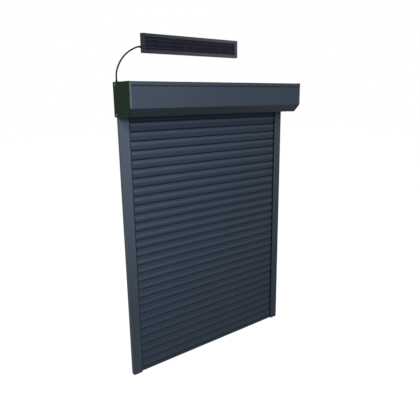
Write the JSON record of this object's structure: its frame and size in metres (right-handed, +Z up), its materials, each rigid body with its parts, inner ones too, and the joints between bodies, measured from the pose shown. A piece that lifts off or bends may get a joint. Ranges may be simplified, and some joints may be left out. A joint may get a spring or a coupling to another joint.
{
  "type": "exterior roller shutter",
  "caption": "Exterior roller shutter: chamfered box with winding tube and tubular drive, interlocking slats in side guide rails, and a separate solar panel on a short cable.",
  "frame": {"origin": "on the wall plane, at the centre of the rectangle of the guide rails' four corner fixing holes", "axes": "+X along the box to the right as seen from the front, +Y into the wall, +Z up"},
  "size_m": [0.95, 0.137, 1.497],
  "materials": {
    "box_paint": "anthracite powder coat, satin",
    "plate_paint": "dark green-black powder coat, satin",
    "rail_paint": "anthracite powder coat, satin",
    "slat_paint": "anthracite stove lacquer, satin",
    "panel_paint": "dark grey anodised, satin",
    "panel_glass": "flat tempered glass",
    "cells": "dark navy laminate",
    "zinc_steel": "zinc plated",
    "motor_steel": "pale grey lacquer",
    "black_plastic": "matt moulded",
    "cap_plastic": "moulded in the rail's colour",
    "pale_plastic": "matt moulded",
    "black_rubber": "matt",
    "pile": "dense woven pile"
  },
  "bodies": {
    "frame": {"box_rear_shell": "box_paint", "box_front_cover": "box_paint", "end_plate_left": "plate_paint", "end_plate_right": "plate_paint", "box_screws": "zinc_steel", "guide_rail_left": "rail_paint", "guide_rail_right": "rail_paint", "guide_pile_strips": "pile", "guide_entries": "black_plastic", "guide_foot_caps": "black_plastic", "guide_hole_caps": "cap_plastic", "motor_head": "pale_plastic", "motor_body": "motor_steel", "idler_bearing": "pale_plastic", "battery_pack": "black_plastic", "battery_clips": "black_plastic", "cable_grommet": "black_rubber", "solar_cable": "black_rubber", "panel_frame": "panel_paint", "panel_glass": "panel_glass", "panel_cells": "cells", "panel_junction_box": "black_plastic", "panel_wall_clips": "black_plastic"},
    "curtain": {"bottom_bar": "slat_paint", "bottom_seal": "black_rubber", "slat_end_clips": "black_plastic", "curtain_straps": "zinc_steel", "slat_01": "slat_paint", "slat_02": "slat_paint", "slat_03": "slat_paint", "slat_04": "slat_paint", "slat_05": "slat_paint", "slat_06": "slat_paint", "slat_07": "slat_paint", "slat_08": "slat_paint", "slat_09": "slat_paint", "slat_10": "slat_paint", "slat_11": "slat_paint", "slat_12": "slat_paint", "slat_13": "slat_paint", "slat_14": "slat_paint", "slat_15": "slat_paint", "slat_16": "slat_paint", "slat_17": "slat_paint", "slat_18": "slat_paint", "slat_19": "slat_paint", "slat_20": "slat_paint", "slat_21": "slat_paint", "slat_22": "slat_paint", "slat_23": "slat_paint", "slat_24": "slat_paint", "slat_25": "slat_paint", "slat_26": "slat_paint", "slat_27": "slat_paint", "slat_28": "slat_paint", "slat_29": "slat_paint"},
    "tube": {"axle_tube": "zinc_steel", "drive_wheel": "black_plastic", "motor_crown": "black_plastic", "idler_plug": "black_plastic"}
  },
  "joints": [
    {"name": "curtain_lift", "type": "slide", "parent": "frame", "child": "curtain", "axis": [0, 0, 1], "range_m": [0, 0.1], "deforming": ["curtain_straps"]},
    {"name": "tube_spin", "type": "hinge", "parent": "frame", "child": "tube", "pos_m": [0, -0.0685, 0.6535], "axis": [1, 0, 0], "range_deg": [0, 275]}
  ],
  "couplings": [
    {"joint": "tube_spin", "follows": "curtain_lift", "rad_per_m": 47.6}
  ]
}
